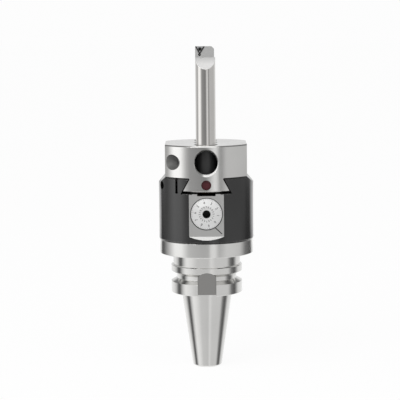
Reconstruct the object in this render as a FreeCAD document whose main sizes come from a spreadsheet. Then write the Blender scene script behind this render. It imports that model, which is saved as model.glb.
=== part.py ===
import FreeCAD, Part
import os
import re
import Sketcher

# Boring head with fine adjustment, on a 7/24 machine taper.  Millimetres.
# Z is the spindle axis and points to the cutting end, with its zero at the gauge line of the taper.
# The dial is on the front, towards -Y, and the slide travels along Y.

SIZES = {
    # taper arbor
    "gauge_radius": 22.225,
    "taper_length": 65.4,
    "taper_slope": 0.1458333,
    "taper_end_edge": 1.4,
    "drawbar_hole_radius": 7.0,
    "drawbar_hole_depth": 32.0,
    "drawbar_mouth_edge": 1.3,
    "pilot_radius": 4.25,
    "pilot_length": 12.0,
    "grip_flange_radius": 31.5,
    "grip_flange_start": 2.0,
    "grip_flange_length": 25.0,
    "flange_edge": 0.5,
    "groove_height": 14.6,
    "groove_depth": 5.0,
    "groove_floor_width": 3.5,
    "groove_mouth_width": 9.25,
    "key_slot_width": 16.1,
    "key_slot_floor": 22.6,
    "key_slot_length": 21.0,
    "key_slot_cutter": 9.2,
    "neck_radius": 29.85,
    "neck_length": 10.5,
    "head_flange_inset": 0.5,
    "head_flange_length": 13.0,
    "joint_edge": 0.8,
    "spigot_radius": 20.0,
    "spigot_length": 4.0,
    "spigot_clearance": 0.05,
    "spigot_end_room": 0.3,
    # screws and pins of the joint between arbor and body
    "joint_screw_inset": 6.25,
    "joint_screw_radius": 2.5,
    "joint_screw_length": 16.0,
    "joint_head_radius": 4.25,
    "joint_head_length": 5.0,
    "joint_head_sink": 0.5,
    "joint_key_width": 4.0,
    "joint_key_depth": 2.5,
    "hole_clearance": 0.3,
    "thread_clearance": 0.05,
    "hole_end_room": 2.0,
    "dowel_inset": 14.0,
    "dowel_radius": 3.0,
    "dowel_length": 14.0,
    "dowel_clearance": 0.02,
    "dowel_end_room": 0.3,
    # head body
    "body_radius": 42.0,
    "body_length": 55.8,
    "body_edge": 0.8,
    "shoulder_bevel": 6.0,
    "slot_depth": 12.5,
    "slot_edge": 0.9,
    "dovetail_angle": 62.0,
    "flank_clearance": 0.08,
    "channel_depth": 2.0,
    "front_flat_depth": 2.8,
    "front_flat_drop": 19.7,
    "cheek_strip": 4.8,
    "slit_width": 1.6,
    "slit_depth": 11.8,
    "slit_relief_radius": 0.95,
    # feed spindle, dial and bushes
    "feed_drop": 17.8,
    "dial_radius": 13.5,
    "dial_gap": 0.65,
    "dial_length": 8.0,
    "dial_proud": 0.9,
    "dial_face_radius": 7.2,
    "dial_cone_depth": 1.6,
    "dial_back_gap": 0.3,
    "index_width": 0.5,
    "index_depth": 0.25,
    "index_length": 7.7,
    "index_aside": 7.6,
    "index_drop": 12.0,
    "index_angle": 43.0,
    "hub_radius": 4.7,
    "hub_sink": 0.15,
    "hub_key_width": 6.0,
    "hub_key_depth": 6.0,
    "running_clearance": 0.05,
    "ring_groove_depth": 0.7,
    "ring_section": 0.6,
    "ring_length": 2.9,
    "ring_hub_gap": 0.3,
    "collar_radius": 8.5,
    "collar_length": 2.5,
    "thrust_radius": 10.0,
    "bush_flange_length": 1.5,
    "bush_radius": 8.0,
    "front_bush_length": 5.0,
    "front_journal_radius": 5.5,
    "feed_thread_radius": 5.0,
    "thread_end_gap": 0.3,
    "rear_journal_radius": 4.0,
    "rear_bush_radius": 7.0,
    "rear_bush_length": 8.0,
    "rear_wall": 20.0,
    "rear_cap_depth": 8.0,
    "rear_cap_radius": 9.0,
    "rear_cap_length": 6.0,
    "rear_cap_edge": 0.5,
    "rear_cap_key_width": 6.0,
    "rear_cap_key_depth": 3.0,
    # nut under the slide
    "nut_width": 15.4,
    "nut_side_clearance": 0.2,
    "nut_length": 20.0,
    "nut_wall": 7.5,
    "nut_floor_gap": 1.0,
    "nut_screw_offset": 5.0,
    "nut_screw_radius": 2.5,
    "nut_screw_length": 14.0,
    "nut_hole_room": 1.0,
    "nut_head_radius": 4.2,
    "nut_head_length": 5.0,
    "nut_head_sink": 0.5,
    # slide
    "slide_gap": 0.3,
    "slide_height": 28.4,
    "slide_side_cut": 6.25,
    "slide_top_edge": 1.0,
    "slide_low_edge": 0.7,
    "tenon_gap": 1.6,
    "tenon_half_width": 20.2,
    "tenon_edge": 0.6,
    "bore_radius": 10.0,
    "bore_depth": 30.3,
    "bore_edge": 0.8,
    "front_bore_wall": 7.5,
    "rear_bore_wall": 8.0,
    "cross_bore_drop": 14.6,
    "cross_bore_edge": 2.0,
    "clamp_tilt": 10.0,
    "clamp_screw_radius": 6.0,
    "clamp_screw_length": 14.0,
    "clamp_screw_edge": 0.8,
    "clamp_tip_gap": 0.3,
    "clamp_mouth_radius": 6.7,
    "clamp_mouth_room": 1.2,
    "clamp_key_width": 6.0,
    "clamp_key_depth": 6.0,
    "port_drop": 5.3,
    "port_radius": 4.25,
    "port_depth": 5.5,
    "port_passage_radius": 1.25,
    "plug_clearance": 0.05,
    "plug_length": 3.4,
    # slide lock screws in the left cheek
    "lock_drop": 7.3,
    "lock_spacing": 16.0,
    "lock_screw_radius": 3.0,
    "lock_screw_length": 10.5,
    "lock_screw_edge": 0.5,
    "lock_tip_gap": 0.1,
    "lock_mouth_radius": 3.6,
    "lock_key_width": 3.0,
    "lock_key_depth": 3.0,
    # boring bar and insert
    "shank_clearance": 0.03,
    "shank_floor_gap": 0.2,
    "shank_end_edge": 1.0,
    "shank_sink": 1.5,
    "bar_radius": 8.65,
    "bar_reach": 85.0,
    "bar_end_edge": 0.4,
    "rake_flat_length": 9.4,
    "rake_flat_sink": 0.4,
    "rake_run_out": 10.2,
    "bar_relief": 0.9,
    "bar_corner": 2.2,
    "insert_circle": 2.38,
    "insert_length": 2.38,
    "insert_inset": 4.1,
    "insert_drop": 2.35,
    "insert_turn": 3.0,
    "insert_nose": 0.3,
    "insert_clearance": 0.05,
    "insert_hole_radius": 1.1,
    "seat_relief_radius": 1.2,
    "pin_screw_radius": 0.95,
    "pin_screw_length": 5.5,
    "pin_head_radius": 1.5,
    "pin_head_length": 0.9,
    "pin_key_width": 1.5,
    "pin_key_depth": 0.7,
}

# Places that several pieces share.  Heights are above the gauge line, and depths along the feed axis
# are distances in front of the spindle axis.
PLACES = {
    "taper_end_radius": "gauge_radius - taper_length * taper_slope",
    "grip_flange_end": "grip_flange_start + grip_flange_length",
    "groove_centre": "grip_flange_start + groove_height",
    "key_slot_top": "grip_flange_start + key_slot_length",
    "head_flange_start": "grip_flange_end + neck_length",
    "head_flange_radius": "body_radius - head_flange_inset",
    "joint": "head_flange_start + head_flange_length",
    "screw_seat": "head_flange_start + joint_head_length + joint_head_sink",
    "joint_circle": "body_radius - joint_screw_inset",
    "dowel_circle": "body_radius - dowel_inset",
    "body_top": "joint + body_length",
    "slot_floor": "body_top - slot_depth",
    "feed_height": "slot_floor - feed_drop",
    "tenon_base": "slot_floor + tenon_gap",
    "slide_low": "body_top + slide_gap",
    "slide_top": "slide_low + slide_height",
    "slide_side": "body_radius - slide_side_cut",
    "tenon_half_high": "tenon_half_width - (slide_low - tenon_base) / tan(dovetail_angle)",
    "bore_floor": "slide_top - bore_depth",
    "nut_seat": "bore_floor - nut_head_length - nut_head_sink",
    "nut_low": "feed_height - nut_wall",
    "channel_half_width": "nut_width / 2 + nut_side_clearance",
    "front_flat": "body_radius - front_flat_depth",
    "front_flat_start": "feed_height - front_flat_drop",
    "dial_face": "front_flat + dial_proud",
    "dial_back": "dial_face - dial_length",
    "hub_face": "dial_face - hub_sink",
    "hub_groove": "(dial_back + hub_face) / 2",
    "dial_pocket_floor": "dial_back - dial_back_gap",
    "collar_front": "dial_pocket_floor - ring_length - running_clearance",
    "collar_rear": "collar_front - collar_length",
    "thrust_floor": "collar_rear - running_clearance - bush_flange_length",
    "nut_pocket_front": "thrust_floor - front_bush_length",
    "nut_pocket_rear": "body_radius - rear_wall",
    "rear_cap_seat": "body_radius - rear_cap_depth",
    "front_bore_offset": "body_radius - front_bore_wall - bore_radius",
    "rear_bore_offset": "body_radius - rear_bore_wall - bore_radius",
    "cross_bore_height": "slide_top - cross_bore_drop",
    "clamp_tip": "bore_radius + clamp_tip_gap",
    "clamp_thread_end": "clamp_tip + clamp_screw_length + clamp_mouth_room",
    "port_height": "slide_low - port_drop",
    "slit_inner": "tenon_half_width + cheek_strip",
    "slit_floor": "body_top - slit_depth",
    "lock_tip": "slit_inner + lock_tip_gap",
    "lock_height": "body_top - lock_drop",
    "lock_thread_end": "lock_tip + lock_screw_length",
    "bar_end": "slide_top + bar_reach",
    "shank_radius": "bore_radius - shank_clearance",
    "insert_x": "insert_inset - bar_radius",
    "insert_z": "bar_end - insert_drop",
}

X_AXIS = FreeCAD.Vector(1, 0, 0)
Y_AXIS = FreeCAD.Vector(0, 1, 0)
Z_AXIS = FreeCAD.Vector(0, 0, 1)
TURN = {
    "up": FreeCAD.Rotation(Z_AXIS, 0),
    "down": FreeCAD.Rotation(X_AXIS, 180),
    "front": FreeCAD.Rotation(X_AXIS, 90),
    "rear": FreeCAD.Rotation(X_AXIS, -90),
    "left": FreeCAD.Rotation(Y_AXIS, -90),
    "right": FreeCAD.Rotation(Y_AXIS, 90),
}

doc = FreeCAD.newDocument("boring_head")
sheet = doc.addObject("Spreadsheet::Sheet", "Sizes")
for row, (size_name, size_value) in enumerate(SIZES.items(), start=1):
    sheet.set(f"A{row}", size_name)
    sheet.set(f"B{row}", str(size_value))
    sheet.setAlias(f"B{row}", size_name)
doc.recompute()


def formula(text):
    """Write a formula in the names of sizes and places as an expression of the document."""

    def spell(word):
        if word[0] in PLACES:
            return "(" + formula(PLACES[word[0]]) + ")"
        return "Sizes." + word[0] if word[0] in SIZES else word[0]

    return re.sub(r"[a-z]\w+", spell, text)


def bind(thing, **formulas):
    for name, text in formulas.items():
        thing.setExpression(name.replace("__", "."), formula(text))


def put(thing, at, facing="up"):
    """Turn a shape so that its own Z points the given way, and bind its place."""
    thing.Placement = FreeCAD.Placement(FreeCAD.Vector(), TURN[facing])
    for letter, text in zip("xyz", at):
        thing.setExpression("Placement.Base." + letter, formula(text))
    return thing


def rod(name, radius, length, at=("0", "0", "0"), facing="up"):
    shape = doc.addObject("Part::Cylinder", name)
    bind(shape, Radius=radius, Height=length)
    return put(shape, at, facing)


def cone(name, first_radius, last_radius, length, at=("0", "0", "0"), facing="up"):
    shape = doc.addObject("Part::Cone", name)
    bind(shape, Radius1=first_radius, Radius2=last_radius, Height=length)
    return put(shape, at, facing)


def block(name, size, at):
    shape = doc.addObject("Part::Box", name)
    bind(shape, Length=size[0], Width=size[1], Height=size[2])
    return put(shape, at)


def hexagon(name, width, length, at=("0", "0", "0"), facing="up"):
    shape = doc.addObject("Part::Prism", name)
    shape.Polygon = 6
    bind(shape, Circumradius=f"{width} / (2 * cos(30))", Height=length)
    return put(shape, at, facing)


def joined(name, *shapes):
    union = doc.addObject("Part::MultiFuse", name)
    union.Shapes = list(shapes)
    return union


def cut(name, base, *tools):
    """Cut one tool, or the union of several, out of a shape."""
    result = doc.addObject("Part::Cut", name)
    result.Base = base
    result.Tool = tools[0] if len(tools) == 1 else joined(name + "_tools", *tools)
    return result


def group(name, shapes):
    bundle = doc.addObject("Part::Compound", name)
    bundle.Links = list(shapes)
    return bundle


def sketch_on(body, name, plane_role):
    sketch = body.newObject("Sketcher::SketchObject", name)
    plane = next(item for item in body.Origin.OriginFeatures if item.Role == plane_role)
    sketch.AttachmentSupport = [(plane, "")]
    sketch.MapMode = "FlatFace"
    return sketch


def outline(sketch, points):
    """Draw a closed outline whose corners are all bound to formulas."""
    first = sketch.GeometryCount
    count = len(points)
    rough = [FreeCAD.Vector(10 + step, 5 * (step % 3), 0) for step in range(count)]
    for step in range(count):
        sketch.addGeometry(Part.LineSegment(rough[step], rough[(step + 1) % count]))
    for step in range(count):
        after = first + (step + 1) % count
        sketch.addConstraint(Sketcher.Constraint("Coincident", first + step, 2, after, 1))
    for step, corner in enumerate(points):
        for kind, text in zip(("DistanceX", "DistanceY"), corner):
            index = sketch.addConstraint(Sketcher.Constraint(kind, first + step, 1, 1.0))
            sketch.setExpression(f"Constraints[{index}]", formula(text))


def turned(name, points):
    """Turn a profile of (radius, height) corners round its own Z."""
    body = doc.addObject("PartDesign::Body", name)
    sketch = sketch_on(body, name + "_profile", "XZ_Plane")
    outline(sketch, points)
    revolution = body.newObject("PartDesign::Revolution", name + "_turn")
    revolution.Profile = sketch
    revolution.ReferenceAxis = (sketch, ["V_Axis"])
    return body


def milled(name, plane_role, length, *outlines):
    """Extrude outlines to both sides of one of the body's own planes."""
    body = doc.addObject("PartDesign::Body", name)
    sketch = sketch_on(body, name + "_profile", plane_role)
    for points in outlines:
        outline(sketch, points)
    pad = body.newObject("PartDesign::Pad", name + "_pad")
    pad.Profile = sketch
    pad.SideType = "Symmetric"
    bind(pad, Length=length)
    return body


def cap_screw(name, at, radius, length, head_radius, head_length, key_width, key_depth, facing="up"):
    """Socket head screw whose seat is at its own zero, with the shank along its own Z."""
    shank = rod(name + "_shank", radius, length)
    head = rod(name + "_head", head_radius, head_length, facing="down")
    key = hexagon(name + "_key", key_width, key_depth, at=("0", "0", f"-{head_length}"))
    return put(cut(name, joined(name + "_blank", shank, head), key), at, facing)


def grub_screw(name, radius, length, edge, key_width, key_depth):
    """Headless screw with its tip at its own zero and its socket at the far end."""
    blank = turned(name + "_blank", [
        ("0", "0"),
        (f"{radius} - {edge}", "0"),
        (radius, edge),
        (radius, f"{length} - {edge}"),
        (f"{radius} - {edge}", length),
        ("0", length),
    ])
    key = hexagon(name + "_key", key_width, key_depth, at=("0", "0", f"{length} - {key_depth}"))
    return cut(name, blank, key)


LOCK_SIDES = {"front": "-1", "middle": "0", "rear": "1"}
JOINT_SCREW_ANGLES = range(0, 360, 60)
DOWEL_ANGLES = (90, 270)


def on_circle(radius, angle, height):
    return (f"{radius} * cos({angle})", f"{radius} * sin({angle})", height)


def make_taper_arbor():
    """Taper shank, gripper flange, neck and head flange, turned from one piece."""
    blank = turned("arbor_blank", [
        ("0", "-taper_length"),
        ("taper_end_radius - taper_end_edge", "-taper_length"),
        ("taper_end_radius + taper_end_edge * taper_slope", "-taper_length + taper_end_edge"),
        ("gauge_radius", "0"),
        ("gauge_radius", "grip_flange_start"),
        ("grip_flange_radius - flange_edge", "grip_flange_start"),
        ("grip_flange_radius", "grip_flange_start + flange_edge"),
        ("grip_flange_radius", "groove_centre - groove_mouth_width / 2"),
        ("grip_flange_radius - groove_depth", "groove_centre - groove_floor_width / 2"),
        ("grip_flange_radius - groove_depth", "groove_centre + groove_floor_width / 2"),
        ("grip_flange_radius", "groove_centre + groove_mouth_width / 2"),
        ("grip_flange_radius", "grip_flange_end - flange_edge"),
        ("grip_flange_radius - flange_edge", "grip_flange_end"),
        ("neck_radius", "grip_flange_end"),
        ("neck_radius", "head_flange_start"),
        ("head_flange_radius - flange_edge", "head_flange_start"),
        ("head_flange_radius", "head_flange_start + flange_edge"),
        ("head_flange_radius", "joint - joint_edge"),
        ("head_flange_radius - joint_edge", "joint"),
        ("spigot_radius", "joint"),
        ("spigot_radius", "joint + spigot_length"),
        ("0", "joint + spigot_length"),
    ])
    depth = "(grip_flange_radius - key_slot_floor)"
    tools = []
    for side, start in (("front", "-grip_flange_radius - flange_edge"), ("rear", "key_slot_floor")):
        bottom = "(grip_flange_start - flange_edge)"
        channel = block(
            f"key_slot_{side}_channel",
            ("key_slot_width", f"{depth} + flange_edge", f"key_slot_top - {bottom}"),
            ("-key_slot_width / 2", start, bottom),
        )
        cutter = rod(
            f"key_slot_{side}_cutter",
            "key_slot_cutter",
            f"{depth} + flange_edge",
            ("0", f"{start} + {depth} + flange_edge", "key_slot_top - key_slot_cutter"),
            "front",
        )
        lower = block(
            f"key_slot_{side}_lower",
            ("key_slot_width", f"{depth} + flange_edge", f"key_slot_top - key_slot_cutter - {bottom}"),
            ("-key_slot_width / 2", start, bottom),
        )
        slot = doc.addObject("Part::Common", f"key_slot_{side}_arch")
        slot.Base = channel
        slot.Tool = cutter
        tools += [slot, lower]
    tools.append(rod(
        "drawbar_hole",
        "drawbar_hole_radius",
        "drawbar_hole_depth",
        ("0", "0", "-taper_length"),
    ))
    tools.append(cone(
        "drawbar_mouth",
        "drawbar_hole_radius + drawbar_mouth_edge",
        "drawbar_hole_radius",
        "drawbar_mouth_edge",
        ("0", "0", "-taper_length"),
    ))
    tools.append(rod(
        "pilot_hole",
        "pilot_radius",
        "pilot_length",
        ("0", "0", "-taper_length + drawbar_hole_depth"),
    ))
    for angle in JOINT_SCREW_ANGLES:
        tools.append(rod(
            f"arbor_screw_hole_{angle}",
            "joint_screw_radius + hole_clearance",
            "head_flange_length",
            on_circle("joint_circle", angle, "head_flange_start"),
        ))
        tools.append(rod(
            f"arbor_head_hole_{angle}",
            "joint_head_radius + hole_clearance",
            "joint_head_length + joint_head_sink",
            on_circle("joint_circle", angle, "head_flange_start"),
        ))
    for angle in DOWEL_ANGLES:
        tools.append(rod(
            f"arbor_dowel_hole_{angle}",
            "dowel_radius + dowel_clearance",
            "dowel_length / 2 + dowel_end_room",
            on_circle("dowel_circle", angle, "joint"),
            "down",
        ))
    return cut("taper_arbor", blank, *tools)


def make_arbor_screws():
    """Six cap screws, put in from below the head flange."""
    return group("arbor_screws", [
        cap_screw(
            f"arbor_screw_{angle}",
            on_circle("joint_circle", angle, "screw_seat"),
            "joint_screw_radius",
            "joint_screw_length",
            "joint_head_radius",
            "joint_head_length",
            "joint_key_width",
            "joint_key_depth",
        )
        for angle in JOINT_SCREW_ANGLES
    ])


def make_arbor_dowels():
    """Two hardened pins, half in the flange and half in the body."""
    return group("arbor_dowels", [
        rod(
            f"arbor_dowel_{angle}",
            "dowel_radius",
            "dowel_length",
            on_circle("dowel_circle", angle, "joint - dowel_length / 2"),
        )
        for angle in DOWEL_ANGLES
    ])


def dovetail(name, base_half_width, base, top, length, grow):
    """Prism along Y that narrows upwards at the dovetail angle."""
    lean = "tan(dovetail_angle)"
    half_low = f"({base_half_width} + {grow} / sin(dovetail_angle))"
    half_high = f"({half_low} - ({top} - ({base})) / {lean})"
    return milled(name, "XZ_Plane", length, [
        (f"-{half_low}", base),
        (half_low, base),
        (half_high, top),
        (f"-{half_high}", top),
    ])


def make_head_body():
    """Black body, turned and then milled."""
    blank = turned("body_blank", [
        ("0", "joint"),
        ("body_radius - body_edge", "joint"),
        ("body_radius", "joint + body_edge"),
        ("body_radius", "body_top - body_edge"),
        ("body_radius - body_edge", "body_top"),
        ("0", "body_top"),
    ])
    across = "(2 * body_radius)"
    over = "(body_top + shoulder_bevel)"
    past = "(body_radius + shoulder_bevel)"
    shoulders = milled(
        "shoulder_cut", "XZ_Plane", f"2 * {past}",
        [
            ("body_radius - shoulder_bevel", "body_top"),
            (past, "body_top - 2 * shoulder_bevel"),
            (past, over),
            ("body_radius - shoulder_bevel", over),
        ],
        [
            ("shoulder_bevel - body_radius", "body_top"),
            (f"-{past}", "body_top - 2 * shoulder_bevel"),
            (f"-{past}", over),
            ("shoulder_bevel - body_radius", over),
        ],
    )
    # The slot's floor corner stays on the tenon's flank line, drawn down by the floor gap.
    slot_half = "(tenon_half_width + tenon_gap / tan(dovetail_angle))"
    slot = dovetail("dovetail_slot", slot_half, "slot_floor", over, f"2 * {past}", "flank_clearance")
    wide_slot = dovetail(
        "slot_edge_prism", slot_half, "slot_floor - slot_edge", over, f"2 * {past}",
        "(flank_clearance + slot_edge)",
    )
    slot_edges = cut("slot_edge_cut", wide_slot, rod("slot_edge_core", "body_radius - slot_edge", over))
    flat = milled("front_flat_cut", "YZ_Plane", across, [
        ("-front_flat", "front_flat_start"),
        (f"-{past}", f"front_flat_start - ({past} - front_flat)"),
        (f"-{past}", "slot_floor"),
        ("-front_flat", "slot_floor"),
    ])
    channel = block(
        "nut_channel",
        ("2 * channel_half_width", across, "channel_depth + tenon_gap"),
        ("-channel_half_width", "-body_radius", "slot_floor - channel_depth"),
    )
    pocket_floor = "(nut_low - nut_floor_gap)"
    pocket = block(
        "nut_pocket",
        ("2 * channel_half_width", "nut_pocket_front + nut_pocket_rear", f"slot_floor - {pocket_floor}"),
        ("-channel_half_width", "-nut_pocket_front", pocket_floor),
    )
    slit = block(
        "cheek_slit",
        ("slit_width", across, "body_top - slit_floor + slide_gap"),
        ("-slit_inner - slit_width", "-body_radius", "slit_floor"),
    )
    slit_relief = rod(
        "slit_relief", "slit_relief_radius", across,
        ("-slit_inner - slit_width / 2", "body_radius", "slit_floor"), "front",
    )
    spigot = rod(
        "spigot_socket", "spigot_radius + spigot_clearance", "spigot_length + spigot_end_room",
        ("0", "0", "joint"),
    )
    tools = [shoulders, slot, slot_edges, flat, channel, pocket, slit, slit_relief, spigot]
    for name, radius, start, end in (
        ("dial_pocket", "dial_radius + dial_gap", "body_radius", "dial_pocket_floor"),
        ("thrust_bore", "thrust_radius", "dial_pocket_floor", "thrust_floor"),
        ("front_bush_bore", "bush_radius + dowel_clearance", "thrust_floor", "nut_pocket_front"),
        ("rear_bush_bore", "rear_bush_radius + dowel_clearance", "-nut_pocket_rear", "-rear_cap_seat"),
        ("rear_cap_bore", "rear_cap_radius", "-rear_cap_seat", "-body_radius"),
    ):
        place = ("0", f"-({start})", "feed_height")
        tools.append(rod(name, radius, f"{start} - ({end})", place, "rear"))
    for angle in JOINT_SCREW_ANGLES:
        tools.append(rod(
            f"body_screw_hole_{angle}",
            "joint_screw_radius + thread_clearance",
            "screw_seat + joint_screw_length + hole_end_room - joint",
            on_circle("joint_circle", angle, "joint"),
        ))
    for angle in DOWEL_ANGLES:
        tools.append(rod(
            f"body_dowel_hole_{angle}",
            "dowel_radius + dowel_clearance",
            "dowel_length / 2 + dowel_end_room",
            on_circle("dowel_circle", angle, "joint"),
        ))
    for place, side in LOCK_SIDES.items():
        aside = f"{side} * lock_spacing"
        tools.append(rod(
            f"lock_thread_{place}",
            "lock_screw_radius + thread_clearance",
            "body_radius - slit_inner",
            ("-slit_inner", aside, "lock_height"),
            "left",
        ))
        tools.append(rod(
            f"lock_mouth_{place}",
            "lock_mouth_radius",
            "body_radius - lock_thread_end",
            ("-lock_thread_end", aside, "lock_height"),
            "left",
        ))
    index = group("index_line", [block(
        "index_line_blank",
        ("index_length", "2 * index_depth", "index_width"),
        ("0", "-index_depth", "-index_width / 2"),
    )])
    index.Placement = FreeCAD.Placement(FreeCAD.Vector(), FreeCAD.Rotation(Y_AXIS, 1))
    bind(
        index,
        Placement__Base__x="index_aside",
        Placement__Base__y="-front_flat",
        Placement__Base__z="feed_height - index_drop",
        Placement__Rotation__Angle="index_angle",
    )
    tools.append(index)
    return cut("head_body", blank, *tools)


def make_spindle():
    """Lead screw, turned along Y, with a hexagon socket in its front."""
    blank = turned("lead_screw_blank", [
        ("0", "-hub_face"),
        ("hub_radius", "-hub_face"),
        ("hub_radius", "-hub_groove - ring_section"),
        ("hub_radius - ring_groove_depth", "-hub_groove - ring_section"),
        ("hub_radius - ring_groove_depth", "-hub_groove + ring_section"),
        ("hub_radius", "-hub_groove + ring_section"),
        ("hub_radius", "-collar_front"),
        ("collar_radius", "-collar_front"),
        ("collar_radius", "-collar_rear"),
        ("front_journal_radius", "-collar_rear"),
        ("front_journal_radius", "-nut_pocket_front"),
        ("feed_thread_radius", "-nut_pocket_front"),
        ("feed_thread_radius", "nut_pocket_rear - thread_end_gap"),
        ("rear_journal_radius", "nut_pocket_rear - thread_end_gap"),
        ("rear_journal_radius", "nut_pocket_rear + rear_bush_length"),
        ("0", "nut_pocket_rear + rear_bush_length"),
    ])
    key = hexagon("lead_screw_key", "hub_key_width", "hub_key_depth", ("0", "0", "-hub_face"))
    key.Placement.Rotation = FreeCAD.Rotation(Z_AXIS, 30)
    return put(cut("lead_screw", blank, key), ("0", "0", "feed_height"), "rear")


def make_graduated_dial():
    """Dial ring: a flat face round the spindle's socket, and a shallow cone outside it."""
    bore = "(hub_radius + running_clearance)"
    dial = turned("graduated_dial", [
        (bore, "-dial_back"),
        (bore, "-dial_face"),
        ("dial_face_radius", "-dial_face"),
        ("dial_radius", "-dial_face + dial_cone_depth"),
        ("dial_radius", "-dial_back"),
    ])
    return put(dial, ("0", "0", "feed_height"), "rear")


def make_dial_ring():
    """Rubber ring in the hub's groove."""
    inner = "(hub_radius - ring_groove_depth + dowel_clearance)"
    outer = "(hub_radius + dowel_clearance)"
    half = "(ring_section - dowel_clearance)"
    ring = turned("dial_ring", [
        (inner, f"-hub_groove - {half}"),
        (outer, f"-hub_groove - {half} / 2"),
        (outer, f"-hub_groove + {half} / 2"),
        (inner, f"-hub_groove + {half}"),
    ])
    return put(ring, ("0", "0", "feed_height"), "rear")


def sleeve(name, inner, outer, front, rear):
    """Plain ring round the feed axis."""
    ring = turned(name, [
        (inner, f"-({front})"),
        (outer, f"-({front})"),
        (outer, f"-({rear})"),
        (inner, f"-({rear})"),
    ])
    return put(ring, ("0", "0", "feed_height"), "rear")


def make_front_bush():
    """Flanged bronze bush behind the spindle's collar."""
    bore = "(front_journal_radius + running_clearance)"
    flange = "(thrust_radius - running_clearance)"
    bush = turned("front_bush", [
        (bore, "-thrust_floor - bush_flange_length"),
        (flange, "-thrust_floor - bush_flange_length"),
        (flange, "-thrust_floor"),
        ("bush_radius", "-thrust_floor"),
        ("bush_radius", "-nut_pocket_front"),
        (bore, "-nut_pocket_front"),
    ])
    return put(bush, ("0", "0", "feed_height"), "rear")


def make_rear_cap():
    """Threaded cap with a key socket, just inside the body's back."""
    blank = turned("rear_cap_blank", [
        ("0", "rear_cap_seat"),
        ("rear_cap_radius - thread_clearance", "rear_cap_seat"),
        ("rear_cap_radius - thread_clearance", "rear_cap_seat + rear_cap_length - rear_cap_edge"),
        ("rear_cap_radius - thread_clearance - rear_cap_edge", "rear_cap_seat + rear_cap_length"),
        ("0", "rear_cap_seat + rear_cap_length"),
    ])
    key = hexagon(
        "rear_cap_key", "rear_cap_key_width", "rear_cap_key_depth",
        ("0", "0", "rear_cap_seat + rear_cap_length - rear_cap_key_depth"),
    )
    return put(cut("rear_cap", blank, key), ("0", "0", "feed_height"), "rear")


def make_feed_nut():
    """Bronze block that hangs under the tenon and carries the lead screw's thread."""
    blank = block("feed_nut_blank", ("nut_width", "nut_length", "tenon_base - nut_low"),
                  ("-nut_width / 2", "-nut_length / 2", "nut_low"))
    thread = rod("feed_nut_thread", "feed_thread_radius + thread_clearance", "nut_length",
                 ("0", "nut_length / 2", "feed_height"), "front")
    screw_end = "(nut_seat - nut_screw_length - nut_hole_room)"
    holes = [
        rod(f"feed_nut_hole_{side}", "nut_screw_radius + thread_clearance", f"tenon_base - {screw_end}",
            ("0", f"{sign}nut_screw_offset", screw_end))
        for side, sign in (("front", "-"), ("rear", ""))
    ]
    return cut("feed_nut", blank, thread, *holes)


def make_feed_nut_screws():
    """Two cap screws through the floor of the centre bore."""
    return group("feed_nut_screws", [
        cap_screw(
            f"feed_nut_screw_{side}",
            ("0", f"{sign}nut_screw_offset", "nut_seat"),
            "nut_screw_radius",
            "nut_screw_length",
            "nut_head_radius",
            "nut_head_length",
            "joint_key_width",
            "joint_key_depth",
            "down",
        )
        for side, sign in (("front", "-"), ("rear", ""))
    ])


BORES = {"front": "-front_bore_offset", "centre": "0", "rear": "rear_bore_offset"}
TILTS = {"front": "clamp_tilt", "centre": "0", "rear": "-clamp_tilt"}


def tilted(name, shape, place):
    """Set a shape that points left on a bar bore's axis, tilted as that bore's clamp screw is."""
    holder = group(name, [shape])
    holder.Placement = FreeCAD.Placement(FreeCAD.Vector(), FreeCAD.Rotation(Z_AXIS, 1))
    bind(
        holder,
        Placement__Base__y=BORES[place],
        Placement__Base__z="cross_bore_height",
        Placement__Rotation__Angle=TILTS[place],
    )
    return holder


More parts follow.
